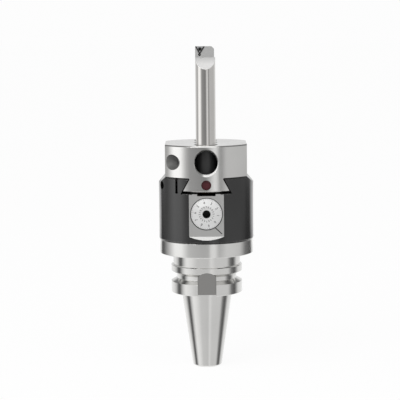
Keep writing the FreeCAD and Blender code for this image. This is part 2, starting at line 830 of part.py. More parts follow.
def make_slide():
    """Bright slide: a round block with flat sides on a dovetail tenon."""
    blank = turned("slide_blank", [
        ("0", "tenon_base"),
        ("body_radius - tenon_edge", "tenon_base"),
        ("body_radius", "tenon_base + tenon_edge"),
        ("body_radius", "slide_top - slide_top_edge"),
        ("body_radius - slide_top_edge", "slide_top"),
        ("0", "slide_top"),
    ])
    past = "(body_radius + slide_top_edge)"
    low = "(tenon_base - slide_top_edge)"
    half_low = "(tenon_half_width + slide_top_edge / tan(dovetail_angle))"
    sides = []
    for side, sign in (("right", ""), ("left", "-")):
        sides.append([
            (f"{sign}tenon_half_high", "slide_low"),
            (f"{sign}({half_low})", low),
            (f"{sign}({past})", low),
            (f"{sign}({past})", "slide_low"),
        ])
    under = milled("slide_under_cut", "XZ_Plane", f"2 * {past}", *sides)
    trims = []
    trim_size = (f"{past} - slide_side", f"2 * {past}", f"slide_top - {low}")
    for side, start in (("right", "slide_side"), ("left", f"-{past}")):
        trims.append(block(f"slide_{side}_trim", trim_size, (start, f"-{past}", low)))
    # The lower edge of the round block is broken on both sides of the tenon.
    edge_ring = turned("slide_low_edge_ring", [
        ("body_radius - slide_low_edge", "slide_low"),
        ("body_radius + slide_low_edge", "slide_low"),
        ("body_radius + slide_low_edge", "slide_low + 2 * slide_low_edge"),
    ])
    guard_half = "(tenon_half_high + slide_low_edge)"
    tenon_guard = block("tenon_guard", (f"2 * {guard_half}", f"2 * {past}", "4 * slide_low_edge"),
                        (f"-{guard_half}", f"-{past}", "slide_low - slide_low_edge"))
    low_edge = cut("slide_low_edge_cut", edge_ring, tenon_guard)
    tools = [under, *trims, low_edge]
    for place, aside in BORES.items():
        tools.append(rod(f"bar_bore_{place}", "bore_radius", "bore_depth", ("0", aside, "bore_floor")))
        tools.append(cone(f"bar_bore_{place}_edge", "bore_radius", "bore_radius + bore_edge", "bore_edge",
                          ("0", aside, "slide_top - bore_edge")))
        thread = rod(f"clamp_thread_{place}", "clamp_screw_radius + thread_clearance",
                     "clamp_thread_end", facing="left")
        mouth = rod(f"clamp_mouth_{place}", "clamp_mouth_radius", "body_radius",
                    ("-clamp_thread_end", "0", "0"), "left")
        tools.append(tilted(f"clamp_hole_{place}", joined(f"clamp_hole_{place}_shape", thread, mouth), place))
    tools.append(rod("cross_bore", "bore_radius", "2 * body_radius",
                     ("0", "body_radius", "cross_bore_height"), "front"))
    for side, sign, facing in (("front", "-", "front"), ("rear", "", "rear")):
        tools.append(cone(f"cross_bore_{side}_edge", "bore_radius", "bore_radius + 2 * cross_bore_edge",
                          "2 * cross_bore_edge",
                          ("0", f"{sign}(body_radius - cross_bore_edge)", "cross_bore_height"), facing))
    for side, sign in (("front", "-"), ("rear", "")):
        tools.append(rod(f"nut_screw_hole_{side}", "nut_screw_radius + hole_clearance",
                         "bore_floor - tenon_base", ("0", f"{sign}nut_screw_offset", "tenon_base")))
        tools.append(rod(f"nut_head_hole_{side}", "nut_head_radius + hole_clearance",
                         "nut_head_length + nut_head_sink", ("0", f"{sign}nut_screw_offset", "nut_seat")))
    tools.append(rod("grease_port", "port_radius", "port_depth",
                     ("0", "port_depth - body_radius", "port_height"), "front"))
    tools.append(rod("grease_passage", "port_passage_radius", "port_height - tenon_base",
                     ("0", "port_depth / 2 - body_radius", "tenon_base")))
    return cut("slide", blank, *tools)


def make_port_plug():
    """Coloured plug, pressed to the floor of the grease port."""
    return rod("port_plug", "port_radius - plug_clearance", "plug_length",
               ("0", "port_depth - body_radius", "port_height"), "front")


def make_clamp_screw(place):
    """Clamp screw of one bar bore, with its tip just clear of the bore."""
    name = f"clamp_screw_{place}"
    screw = grub_screw(name + "_shape", "clamp_screw_radius", "clamp_screw_length", "clamp_screw_edge",
                       "clamp_key_width", "clamp_key_depth")
    put(screw, ("-clamp_tip", "0", "0"), "left")
    return tilted(name, screw, place)


def make_lock_screw(place):
    """Lock screw that bears on the inner strip of the slit cheek."""
    screw = grub_screw(f"lock_screw_{place}", "lock_screw_radius", "lock_screw_length", "lock_screw_edge",
                       "lock_key_width", "lock_key_depth")
    return put(screw, ("-lock_tip", f"{LOCK_SIDES[place]} * lock_spacing", "lock_height"), "left")


def triangle(name, circle, length):
    """Three-cornered pad with one flat side up and a corner down, sunk behind its own face."""
    body = doc.addObject("PartDesign::Body", name)
    sketch = sketch_on(body, name + "_profile", "XY_Plane")
    corner = f"(2 * {circle})"
    outline(sketch, [
        ("0", f"-{corner}"),
        (f"{corner} * cos(30)", circle),
        (f"-{corner} * cos(30)", circle),
    ])
    pad = body.newObject("PartDesign::Pad", name + "_pad")
    pad.Profile = sketch
    pad.Reversed = True
    bind(pad, Length=length)
    return body, pad


def stand_up(name, shape):
    """Turn a flat shape so that its +Z looks to the front, on the insert's centre."""
    put(shape, ("0", "0", "0"), "front")
    holder = group(name, [shape])
    holder.Placement = FreeCAD.Placement(FreeCAD.Vector(), FreeCAD.Rotation(Y_AXIS, 1))
    bind(
        holder,
        Placement__Base__x="insert_x",
        Placement__Base__y="-front_bore_offset",
        Placement__Base__z="insert_z",
        Placement__Rotation__Angle="insert_turn",
    )
    return holder


def make_boring_bar():
    """Bar with a stepped shank and a half-round head that carries the insert."""
    shank_end = "(bore_floor + shank_floor_gap)"
    shank_top = "(slide_top - shank_sink)"
    blank = turned("bar_blank", [
        ("0", shank_end),
        ("shank_radius - shank_end_edge", shank_end),
        ("shank_radius", f"{shank_end} + shank_end_edge"),
        ("shank_radius", f"{shank_top} - (shank_radius - bar_radius)"),
        ("bar_radius", shank_top),
        ("bar_radius", "bar_end - bar_end_edge"),
        ("bar_radius - bar_end_edge", "bar_end"),
        ("0", "bar_end"),
    ])
    put(blank, ("0", "-front_bore_offset", "0"))
    flat_low = "(bar_end - rake_flat_length)"
    flat_y = "(rake_flat_sink - front_bore_offset)"
    rake_flat = block("rake_flat", ("2 * bar_radius", "bar_radius + rake_flat_sink", "rake_flat_length"),
                      ("-bar_radius", f"{flat_y} - bar_radius - rake_flat_sink", flat_low))
    rake_run_out = milled("rake_run_out", "YZ_Plane", "2 * bar_radius", [
        (flat_y, flat_low),
        (f"{flat_y} - bar_radius - rake_flat_sink", f"{flat_low} - rake_run_out"),
        (f"{flat_y} - bar_radius - rake_flat_sink", flat_low),
    ])
    relief = block("bar_relief_cut", ("bar_relief", "2 * bar_radius", "rake_flat_length"),
                   ("bar_radius - bar_relief", "-front_bore_offset - bar_radius", flat_low))
    corner = milled("bar_corner_cut", "XZ_Plane", "4 * front_bore_offset", [
        ("bar_radius - bar_relief - bar_corner", "bar_end"),
        ("bar_radius", "bar_end - bar_corner - bar_relief"),
        ("bar_radius", "bar_end"),
    ])
    seat, _ = triangle("insert_seat_shape", "(insert_circle + insert_clearance)",
                       "insert_length + insert_clearance")
    over = rod("seat_relief", "seat_relief_radius", "insert_length + insert_clearance",
               ("0", "-2 * insert_circle", "-insert_length - insert_clearance"))
    hole = rod("insert_thread", "pin_screw_radius + thread_clearance", "pin_screw_length + insert_length",
               facing="down")
    seat_tool = stand_up("insert_seat", joined("insert_seat_blank", seat, over, hole))
    return cut("boring_bar", blank, rake_flat, rake_run_out, relief, corner, seat_tool)


def make_insert():
    """Three-cornered carbide insert with rounded corners and a countersunk hole."""
    body, pad = triangle("insert_blank", "insert_circle", "insert_length")
    doc.recompute()
    corners = [
        f"Edge{number}"
        for number, edge in enumerate(pad.Shape.Edges, start=1)
        if abs(edge.tangentAt(edge.FirstParameter).z) > 0.9
    ]
    nose = body.newObject("PartDesign::Fillet", "insert_nose_round")
    nose.Base = (pad, corners)
    bind(nose, Radius="insert_nose")
    hole = rod("insert_hole", "insert_hole_radius", "insert_length", facing="down")
    sink = cone("insert_sink", "pin_head_radius + hole_clearance", "insert_hole_radius", "pin_head_length",
                facing="down")
    return stand_up("insert", cut("insert_shape", body, hole, sink))


def make_insert_screw():
    """Countersunk screw of the insert."""
    head = cone("insert_screw_head", "pin_head_radius", "pin_screw_radius", "pin_head_length", facing="down")
    shank = rod("insert_screw_shank", "pin_screw_radius", "pin_screw_length", facing="down")
    key = hexagon("insert_screw_key", "pin_key_width", "pin_key_depth", ("0", "0", "-pin_key_depth"))
    blank = joined("insert_screw_blank", head, shank)
    return stand_up("insert_screw", cut("insert_screw_shape", blank, key))


parts = [
    make_taper_arbor(),
    make_arbor_screws(),
    make_arbor_dowels(),
    make_head_body(),
    sleeve("retaining_ring", "(hub_radius + ring_hub_gap)", "(thrust_radius - thread_clearance)",
           "dial_pocket_floor", "dial_pocket_floor - ring_length"),
    make_front_bush(),
    sleeve("rear_bush", "(rear_journal_radius + running_clearance)", "rear_bush_radius",
           "-nut_pocket_rear", "-nut_pocket_rear - rear_bush_length"),
    make_rear_cap(),
    make_spindle(),
    make_graduated_dial(),
    make_dial_ring(),
    make_slide(),
    make_feed_nut(),
    make_feed_nut_screws(),
    make_port_plug(),
    make_boring_bar(),
    make_insert(),
    make_insert_screw(),
]
for bore_place in BORES:
    parts.append(make_clamp_screw(bore_place))
for lock_place in LOCK_SIDES:
    parts.append(make_lock_screw(lock_place))

doc.recompute()

for thing in doc.Objects:
    if "Invalid" in thing.State or "Error" in thing.State:
        raise RuntimeError(f"{thing.Name} failed: {thing.State}")
for part in parts:
    if part.Shape.isNull() or not part.Shape.isValid() or not part.Shape.Solids:
        raise RuntimeError(f"{part.Label} has no valid solid")

os.makedirs("parts", exist_ok=True)
for part in parts:
    part.Shape.exportStep(f"parts/{part.Label}.step")
    print(f"{part.Label}: {len(part.Shape.Solids)} solid(s), {part.Shape.Volume:.0f} cubic mm")
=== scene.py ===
import math
import bpy
from mathutils import Matrix, Vector


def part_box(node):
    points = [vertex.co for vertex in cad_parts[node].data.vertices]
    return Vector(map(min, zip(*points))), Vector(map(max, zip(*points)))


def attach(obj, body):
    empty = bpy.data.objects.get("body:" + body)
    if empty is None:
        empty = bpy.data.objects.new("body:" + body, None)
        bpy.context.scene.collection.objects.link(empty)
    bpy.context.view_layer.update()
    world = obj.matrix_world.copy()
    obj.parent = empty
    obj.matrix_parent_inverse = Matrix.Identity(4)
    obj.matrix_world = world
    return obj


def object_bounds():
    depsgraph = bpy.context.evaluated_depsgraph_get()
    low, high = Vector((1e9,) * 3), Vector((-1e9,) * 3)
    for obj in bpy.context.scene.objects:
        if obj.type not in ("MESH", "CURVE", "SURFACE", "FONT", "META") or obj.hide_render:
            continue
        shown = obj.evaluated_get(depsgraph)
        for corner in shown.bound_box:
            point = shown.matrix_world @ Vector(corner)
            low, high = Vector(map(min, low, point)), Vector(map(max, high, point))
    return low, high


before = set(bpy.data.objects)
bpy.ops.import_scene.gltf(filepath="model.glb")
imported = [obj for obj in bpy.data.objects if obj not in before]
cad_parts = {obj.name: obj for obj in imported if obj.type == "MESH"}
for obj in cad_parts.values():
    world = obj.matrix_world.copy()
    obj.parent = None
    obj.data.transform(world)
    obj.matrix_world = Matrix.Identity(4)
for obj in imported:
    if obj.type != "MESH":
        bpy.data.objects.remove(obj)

MM = 0.001
cad_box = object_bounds()

# ---------------------------------------------------------------------------------------------
# The taper arbor: 7/24 shank, gripper flange, neck and head flange.
# One steel forging, turned and then ground bright, with fine grinding lines that run round it.
# The two key slots are milled and stay duller than the ground faces.


def start_material(name, **values):
    """A material whose uniform values are set on the shader's own sockets."""
    material = bpy.data.materials.new(name)
    material.use_nodes = True
    shader = material.node_tree.nodes["Principled BSDF"]
    for socket, value in values.items():
        shader.inputs[socket.replace("_", " ")].default_value = value
    return material, material.node_tree, shader


def add(tree, kind, inputs=(), **settings):
    """Add a node, with its settings and with sockets given as values or as links."""
    node = tree.nodes.new(kind)
    for name, value in settings.items():
        setattr(node, name, value)
    for socket, value in dict(inputs).items():
        if isinstance(value, bpy.types.NodeSocket):
            tree.links.new(value, node.inputs[socket])
        else:
            node.inputs[socket].default_value = value
    return node


def math_node(tree, operation, *values):
    node = add(tree, "ShaderNodeMath", enumerate(values), operation=operation)
    return node.outputs[0]


FINE_DETAIL = 3.0


def grain(tree, stretch, detail=2.0):
    """Noise in the part's own coordinates: stretch is its number of waves per metre along each axis."""
    place = add(tree, "ShaderNodeTexCoord").outputs["Object"]
    spread = add(tree, "ShaderNodeMapping", {"Vector": place, "Scale": stretch}).outputs[0]
    return add(tree, "ShaderNodeTexNoise", {"Vector": spread, "Scale": 1.0, "Detail": detail}).outputs["Fac"]


def map_range(tree, value, low, high, start=0.3, end=0.7):
    inputs = {"Value": value, "From Min": start, "From Max": end, "To Min": low, "To Max": high}
    return add(tree, "ShaderNodeMapRange", inputs).outputs[0]


def blend_colors(tree, amount, first, second):
    node = add(tree, "ShaderNodeMix", data_type="RGBA")
    for index, value in ((0, amount), (6, first), (7, second)):
        if isinstance(value, bpy.types.NodeSocket):
            tree.links.new(value, node.inputs[index])
        else:
            node.inputs[index].default_value = value
    return node.outputs[2]


def soft_edges(tree, radius):
    """Normal that rounds each edge a little, as the last deburring does."""
    return add(tree, "ShaderNodeBevel", {"Radius": radius}, samples=4).outputs[0]


EDGE_LIKENESS = (0.93, 0.995)


def edge_mask(tree, radius):
    """One on the edges of a piece, nought on its faces."""
    rounded = soft_edges(tree, radius)
    flat = add(tree, "ShaderNodeNewGeometry").outputs["Normal"]
    likeness = add(tree, "ShaderNodeVectorMath", {0: rounded, 1: flat}, operation="DOT_PRODUCT")
    return map_range(tree, likeness.outputs["Value"], 1.0, 0.0, *EDGE_LIKENESS)


def bump(tree, height, distance, normal, strength=1.0):
    inputs = {"Height": height, "Distance": distance, "Strength": strength, "Normal": normal}
    return add(tree, "ShaderNodeBump", inputs).outputs[0]


STAIN_WAVES = (35.0, 35.0, 35.0)
STAIN_DETAIL = 4.0
POLISH_SPREAD = (0.85, 1.2)


def steel(name, color, roughness, lines, line_height, edge=0.12 * MM, stains=0.03, **values):
    """Bright steel: fine tool lines, faint cloudy patches and softened edges."""
    material, tree, shader = start_material(name, Metallic=1.0, **values)
    cloud = grain(tree, STAIN_WAVES, STAIN_DETAIL)
    dark = [channel * (1.0 - 2.0 * stains) for channel in color] + [1.0]
    tint = blend_colors(tree, map_range(tree, cloud, 0.0, 1.0), dark, (*color, 1.0))
    tree.links.new(tint, shader.inputs["Base Color"])
    scratches = grain(tree, lines)
    rough = map_range(tree, scratches, *(roughness * share for share in POLISH_SPREAD))
    tree.links.new(rough, shader.inputs["Roughness"])
    tree.links.new(bump(tree, scratches, line_height, soft_edges(tree, edge)), shader.inputs["Normal"])
    return material, tree, shader, tint


def within(tree, value, low, high):
    """One where the value lies between two bounds."""
    return math_node(tree, "COMPARE", value, (low + high) / 2, (high - low) / 2)


def all_of(tree, *masks):
    result = masks[0]
    for mask in masks[1:]:
        result = math_node(tree, "MULTIPLY", result, mask)
    return result


def coordinates(tree):
    place = add(tree, "ShaderNodeTexCoord").outputs["Object"]
    return add(tree, "ShaderNodeSeparateXYZ", {0: place}).outputs


def lean(tree, shader, slope):
    """Tilt the face's normal a little down, as on a face that widens upwards by this slope."""
    height = coordinates(tree)[2]
    normal = shader.inputs["Normal"].links[0].from_socket
    tree.links.new(bump(tree, height, slope, normal), shader.inputs["Normal"])


RING_LINES = (40.0, 40.0, 4200.0)
RING_LINE_HEIGHT = 0.0005 * MM
GROUND_ROUGHNESS = 0.12
BRIGHT_STEEL = (0.78, 0.775, 0.76)
KEY_SLOT_GREY = (0.345, 0.34, 0.33, 1.0)
KEY_SLOT_HALF = 8.15 * MM
KEY_SLOT_DEPTHS = (22.4 * MM, 31.3 * MM)
KEY_SLOT_LOW = 1.0 * MM
KEY_SLOT_TOP = 23.2 * MM
KEY_SLOT_CUTTER = 9.25 * MM
JOINT_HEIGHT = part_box("head_body")[0].z
HEAD_FLANGE = (JOINT_HEIGHT - 12.9 * MM, JOINT_HEIGHT)
ARBOR_LEAN = 0.10
HEAD_FLANGE_LEAN = 0.012

ground_steel, tree, shader, tint = steel(
    "ground_steel", BRIGHT_STEEL, GROUND_ROUGHNESS, RING_LINES, RING_LINE_HEIGHT, Anisotropic=0.35,
)
x, y, z = coordinates(tree)
depth = math_node(tree, "ABSOLUTE", y)
arch_rise = math_node(tree, "MAXIMUM", math_node(tree, "SUBTRACT", z, KEY_SLOT_TOP - KEY_SLOT_CUTTER), 0.0)
arch = add(tree, "ShaderNodeCombineXYZ", {0: x, 1: arch_rise}).outputs[0]
arch = add(tree, "ShaderNodeVectorMath", {0: arch}, operation="LENGTH").outputs["Value"]
in_slot = all_of(
    tree,
    within(tree, x, -KEY_SLOT_HALF, KEY_SLOT_HALF),
    within(tree, depth, *KEY_SLOT_DEPTHS),
    within(tree, z, KEY_SLOT_LOW, KEY_SLOT_TOP),
    math_node(tree, "LESS_THAN", arch, KEY_SLOT_CUTTER),
)
slot_tint = blend_colors(tree, in_slot, tint, KEY_SLOT_GREY)
tree.links.new(slot_tint, shader.inputs["Base Color"])
tangent = add(tree, "ShaderNodeTangent", direction_type="RADIAL", axis="Z")
tree.links.new(tangent.outputs[0], shader.inputs["Tangent"])
on_head_flange = within(tree, z, *HEAD_FLANGE)
lean(tree, shader, map_range(tree, on_head_flange, ARBOR_LEAN, HEAD_FLANGE_LEAN, 0.0, 1.0))


def dress(material, *nodes):
    """Give CAD nodes their finished material."""
    for name in nodes:
        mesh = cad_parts[name].data
        mesh.materials.clear()
        mesh.materials.append(material)


dress(ground_steel, "taper_arbor", "arbor_dowels")

# ---------------------------------------------------------------------------------------------
# The screws: cap screws of the joint and the nut, clamp and lock screws, rear cap, retaining ring.
# Rolled and hardened steel, blackened in an oil bath; the edges of sockets and ends are painted lighter,
# partly as wear and partly as a painted highlight.

BORE_PLACES = ("front", "centre", "rear")
LOCK_PLACES = ("front", "middle", "rear")
OIL_WAVES = (160.0, 160.0, 160.0)
OIL_HEIGHT = 0.004 * MM
OILED_BLACK = (0.022, 0.022, 0.024, 1.0)
OILED_GREY = (0.05, 0.05, 0.054, 1.0)
WORN_AND_GLINT_STEEL = (0.42, 0.41, 0.40, 1.0)
WORN_METALLIC = 0.8
WORN_AND_GLINT_WIDTH = 0.16 * MM
SCREW_EDGE = 0.12 * MM

screw_steel, tree, shader = start_material("screw_steel", Roughness=0.36, Specular_IOR_Level=0.6)
oil = grain(tree, OIL_WAVES, FINE_DETAIL)
coat = blend_colors(tree, map_range(tree, oil, 0.0, 1.0), OILED_BLACK, OILED_GREY)
# Edges painted lighter bare steel: partly edge wear, partly a painted highlight.
worn_and_glint = edge_mask(tree, WORN_AND_GLINT_WIDTH)
tree.links.new(blend_colors(tree, worn_and_glint, coat, WORN_AND_GLINT_STEEL), shader.inputs["Base Color"])
tree.links.new(math_node(tree, "MULTIPLY", worn_and_glint, WORN_METALLIC), shader.inputs["Metallic"])
tree.links.new(bump(tree, oil, OIL_HEIGHT, soft_edges(tree, SCREW_EDGE)), shader.inputs["Normal"])
dress(screw_steel, "arbor_screws", "feed_nut_screws", "retaining_ring", "rear_cap")
dress(screw_steel, *(f"clamp_screw_{place}" for place in BORE_PLACES))
dress(screw_steel, *(f"lock_screw_{place}" for place in LOCK_PLACES))

# ---------------------------------------------------------------------------------------------
# The head body: a round steel body, blackened all over, then milled at the front.
# The flat round the dial and its run-out are cut after the blackening, so they are bare metal.
# The dovetail slot's edges, the channel, the slit and the lock screws' mouths are painted black as shade,
# and the index line is a dark mark.

dial_low, dial_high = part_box("graduated_dial")
lock_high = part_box("lock_screw_middle")[1]
rear_lock_low, rear_lock_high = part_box("lock_screw_rear")
BODY_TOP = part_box("head_body")[1].z
DIAL_PROUD = 0.9 * MM
FLAT_FACE = dial_low.y + DIAL_PROUD
FLAT_HALF = 17.0 * MM
FLAT_REACH = FLAT_FACE + 0.03 * MM
RUN_OUT_LOW = JOINT_HEIGHT + 2.8 * MM
FACES_FRONT = -0.995
FACES_UP = 0.5
SLOT_FLOOR = BODY_TOP - 12.5 * MM
BARE_TOP = SLOT_FLOOR + 0.1 * MM
SHADE_LOW = SLOT_FLOOR - 0.4 * MM
SLOT_HALF = 21.05 * MM
SLOT_EDGE = 1.0 * MM
SLOT_SLOPE = 1.0 / math.tan(math.radians(62.0))
CHANNEL = (8.0 * MM, 2.1 * MM)
SLIT_PLACE = -25.8 * MM
SLIT_HALF = 1.0 * MM
SLIT_FLOOR = BODY_TOP - 11.8 * MM
SLIT_RELIEF = 1.2 * MM
LOCK_HEIGHT = lock_high.z - 3.0 * MM
LOCK_MOUTH = 3.65 * MM
LOCK_SPACING = (rear_lock_low.y + rear_lock_high.y) / 2
MILLED = (0.52, 0.52, 0.51, 1.0)
MILLED_LIP_HIGHLIGHT = (0.68, 0.68, 0.67, 1.0)
SHADE_AND_INDEX_BLACK = (0.004, 0.004, 0.004, 1.0)
COAT_BLACK = (0.002, 0.002, 0.002, 1.0)
COAT_GREY = (0.005, 0.005, 0.0052, 1.0)
RUBBED_AND_GLINT_STEEL = (0.34, 0.34, 0.335, 1.0)
RUBBED_AND_GLINT_WIDTH = 0.14 * MM
RUBBED_AND_GLINT_SHARE = 0.6
CLOUD_WAVES = (30.0, 30.0, 30.0)
PEEL_WAVES = (900.0, 900.0, 900.0)
PEEL_HEIGHT = 0.0012 * MM
MILLING_LINES = (60.0, 60.0, 2600.0)
MILLING_HEIGHT = 0.003 * MM
BODY_EDGE = 0.16 * MM
BODY_LEAN = 0.005
FEED_HEIGHT = (dial_low.z + dial_high.z) / 2
INDEX_ANGLE = math.radians(-43.0)
INDEX_START = (7.6 * MM, FEED_HEIGHT - 12.0 * MM)
INDEX_LENGTH = 7.8 * MM
INDEX_HALF = 0.38 * MM
INDEX_REACH = FLAT_FACE + 0.4 * MM
COAT_ROUGHNESS = 0.13
BARE_ROUGHER = 0.2
MILLING_ROUGHER = 0.1
DULL_ROUGHER = 0.4
BARE_METALLIC = 0.8


def in_rod(tree, at, along, radius):
    """One inside a round bar of this radius through a place, endless both ways."""
    place = add(tree, "ShaderNodeTexCoord").outputs["Object"]
    arm = add(tree, "ShaderNodeVectorMath", {0: place, 1: at}, operation="SUBTRACT").outputs[0]
    across = add(tree, "ShaderNodeVectorMath", {0: arm, 1: along}, operation="CROSS_PRODUCT").outputs[0]
    away = add(tree, "ShaderNodeVectorMath", {0: across}, operation="LENGTH").outputs["Value"]
    return math_node(tree, "LESS_THAN", away, radius)


def any_of(tree, *masks):
    result = masks[0]
    for mask in masks[1:]:
        result = math_node(tree, "MAXIMUM", result, mask)
    return result


black_steel, tree, shader = start_material("black_steel", Specular_IOR_Level=0.86)
peel = grain(tree, PEEL_WAVES)
cloud = grain(tree, CLOUD_WAVES, FINE_DETAIL)
coat = blend_colors(tree, map_range(tree, cloud, 0.0, 1.0), COAT_BLACK, COAT_GREY)
# Edges painted lighter grey: partly rubbing wear, partly a painted highlight.
rubbed_and_glint = math_node(tree, "MULTIPLY", edge_mask(tree, RUBBED_AND_GLINT_WIDTH), RUBBED_AND_GLINT_SHARE)
coat = blend_colors(tree, rubbed_and_glint, coat, RUBBED_AND_GLINT_STEEL)
x, y, z = coordinates(tree)
facing = add(tree, "ShaderNodeTexCoord").outputs["Normal"]
facing = add(tree, "ShaderNodeSeparateXYZ", {0: facing}).outputs
faces_up = math_node(tree, "GREATER_THAN", facing[2], FACES_UP)
bare = all_of(
    tree,
    within(tree, x, -FLAT_HALF, FLAT_HALF),
    within(tree, z, RUN_OUT_LOW, BARE_TOP),
    math_node(tree, "LESS_THAN", y, FLAT_REACH),
    any_of(tree, math_node(tree, "LESS_THAN", facing[1], FACES_FRONT), faces_up),
)
# Painted highlight: the upward-facing part of the bare run-out is painted lighter.
lip_highlight = math_node(tree, "MULTIPLY", bare, faces_up)
index_x = math_node(tree, "SUBTRACT", x, INDEX_START[0])
index_z = math_node(tree, "SUBTRACT", z, INDEX_START[1])
index_along = math_node(
    tree, "MULTIPLY_ADD", index_x, math.cos(INDEX_ANGLE),
    math_node(tree, "MULTIPLY", index_z, math.sin(INDEX_ANGLE)),
)
index_across = math_node(
    tree, "MULTIPLY_ADD", index_z, math.cos(INDEX_ANGLE),
    math_node(tree, "MULTIPLY", index_x, -math.sin(INDEX_ANGLE)),
)
on_index = all_of(
    tree,
    within(tree, index_along, 0.0, INDEX_LENGTH),
    within(tree, index_across, -INDEX_HALF, INDEX_HALF),
    math_node(tree, "LESS_THAN", y, INDEX_REACH),
)
aside = math_node(tree, "ABSOLUTE", x)
in_dovetail = math_node(tree, "MULTIPLY_ADD", math_node(tree, "SUBTRACT", z, SLOT_FLOOR), SLOT_SLOPE, aside)
in_dovetail = math_node(tree, "LESS_THAN", in_dovetail, SLOT_HALF + SLOT_EDGE)
slit_aside = math_node(tree, "ABSOLUTE", math_node(tree, "SUBTRACT", x, SLIT_PLACE))
# Painted shade in the recesses, together with the dark index line.
shade_and_index = any_of(
    tree,
    on_index,
    all_of(tree, in_dovetail, math_node(tree, "GREATER_THAN", z, SHADE_LOW)),
    all_of(
        tree,
        math_node(tree, "LESS_THAN", aside, CHANNEL[0]),
        math_node(tree, "GREATER_THAN", z, SLOT_FLOOR - CHANNEL[1]),
    ),
    all_of(
        tree,
        math_node(tree, "LESS_THAN", slit_aside, SLIT_HALF),
        math_node(tree, "GREATER_THAN", z, SLIT_FLOOR),
    ),
    in_rod(tree, (SLIT_PLACE, 0.0, SLIT_FLOOR), (0.0, 1.0, 0.0), SLIT_RELIEF),
    *(
        all_of(
            tree,
            in_rod(tree, (0.0, side * LOCK_SPACING, LOCK_HEIGHT), (1.0, 0.0, 0.0), LOCK_MOUTH),
            math_node(tree, "LESS_THAN", x, SLIT_PLACE),
        )
        for side in (-1, 0, 1)
    ),
)
color = blend_colors(tree, bare, coat, MILLED)
color = blend_colors(tree, lip_highlight, color, MILLED_LIP_HIGHLIGHT)
color = blend_colors(tree, shade_and_index, color, SHADE_AND_INDEX_BLACK)
tree.links.new(color, shader.inputs["Base Color"])
bare_metallic = math_node(tree, "MULTIPLY", bare, BARE_METALLIC)
tree.links.new(any_of(tree, bare_metallic, shade_and_index), shader.inputs["Metallic"])
milling = math_node(tree, "MULTIPLY", grain(tree, MILLING_LINES), bare)
rough = math_node(tree, "MULTIPLY_ADD", milling, MILLING_ROUGHER, COAT_ROUGHNESS)
rough = math_node(tree, "MULTIPLY_ADD", bare, BARE_ROUGHER, rough)
rough = math_node(tree, "MULTIPLY_ADD", shade_and_index, DULL_ROUGHER, rough)
tree.links.new(rough, shader.inputs["Roughness"])
coat_relief = bump(tree, peel, PEEL_HEIGHT, soft_edges(tree, BODY_EDGE))
tree.links.new(bump(tree, milling, MILLING_HEIGHT, coat_relief), shader.inputs["Normal"])
lean(tree, shader, BODY_LEAN)
dress(black_steel, "head_body")

# ---------------------------------------------------------------------------------------------
# The bushes and the feed nut: bearing bronze, turned and bored to size.
# They sit inside the body, brown with old oil, and the nut hangs under the slide.

OILED_BRONZE = (0.16, 0.11, 0.06)
BRONZE_ROUGHNESS = 0.5
TURNING_LINES = (300.0, 1800.0, 300.0)
TURNING_HEIGHT = 0.003 * MM

bronze, tree, shader, tint = steel(
    "bronze", OILED_BRONZE, BRONZE_ROUGHNESS, TURNING_LINES, TURNING_HEIGHT, stains=0.08,
)
dress(bronze, "front_bush", "rear_bush", "feed_nut")

# ---------------------------------------------------------------------------------------------
# The lead screw and the dial on its front end: steel with a satin chromed finish.
# The dial has a flat face round the key socket and a shallow cone outside it; the socket and its mouth are
# painted black as shade.

FRONT = (0.0, 1.0, 0.0)
SOCKET_CORNER = 3.52 * MM
SOCKET_DEPTH = 8.0 * MM
SOCKET_SHADE = (0.006, 0.006, 0.006, 1.0)
FEED_AXIS = (0.0, 0.0, FEED_HEIGHT)
SATIN_CHROME = (0.79, 0.79, 0.785)
SATIN_ROUGHNESS = 0.42
SATIN_WAVES = (700.0, 700.0, 700.0)
SATIN_HEIGHT = 0.0015 * MM
SATIN_METALLIC = 0.6
SATIN_EDGE = 0.2 * MM

satin_steel, tree, shader, tint = steel(
    "satin_steel", SATIN_CHROME, SATIN_ROUGHNESS, SATIN_WAVES, SATIN_HEIGHT, edge=SATIN_EDGE,
)
shader.inputs["Metallic"].default_value = SATIN_METALLIC
y = coordinates(tree)[1]
# Painted shade: the key socket and its mouth on the dial's face are painted black.
socket_shade_mask = all_of(
    tree,
    in_rod(tree, FEED_AXIS, FRONT, SOCKET_CORNER),
    math_node(tree, "LESS_THAN", y, dial_low.y + SOCKET_DEPTH),
)
tree.links.new(blend_colors(tree, socket_shade_mask, tint, SOCKET_SHADE), shader.inputs["Base Color"])
dress(satin_steel, "lead_screw", "graduated_dial")

# The ring between dial and spindle is black rubber, moulded, with a matt skin.
RUBBER_BLACK = (0.02, 0.02, 0.02, 1.0)
RUBBER_WAVES = (1500.0, 1500.0, 1500.0)
RUBBER_HEIGHT = 0.01 * MM
RUBBER_EDGE = 0.1 * MM

rubber, tree, shader = start_material("rubber", Base_Color=RUBBER_BLACK, Roughness=0.6)
skin = grain(tree, RUBBER_WAVES)
tree.links.new(bump(tree, skin, RUBBER_HEIGHT, soft_edges(tree, RUBBER_EDGE)), shader.inputs["Normal"])
dress(rubber, "dial_ring")

# ---------------------------------------------------------------------------------------------
# The dial's graduations: fifty short lines round the rim and two rings of plain numbers.
# They are engraved and filled with grey paint; here each is a thin inlay on the face.

DIAL_CENTRE = Vector(((dial_low.x + dial_high.x) / 2, dial_low.y, FEED_HEIGHT))
DIAL_RADIUS = (dial_high.x - dial_low.x) / 2
FACE_RADIUS = 7.2 * MM
CONE_DEPTH = 1.6 * MM
INLAY = 0.03 * MM
BOLD = 0.05 * MM
FONT_CAPITAL = 0.7
DARK_PAINT = (0.07, 0.07, 0.07, 1.0)
GREY_PAINT = (0.20, 0.20, 0.20, 1.0)
PAINT_WAVES = (2500.0, 2500.0, 2500.0)

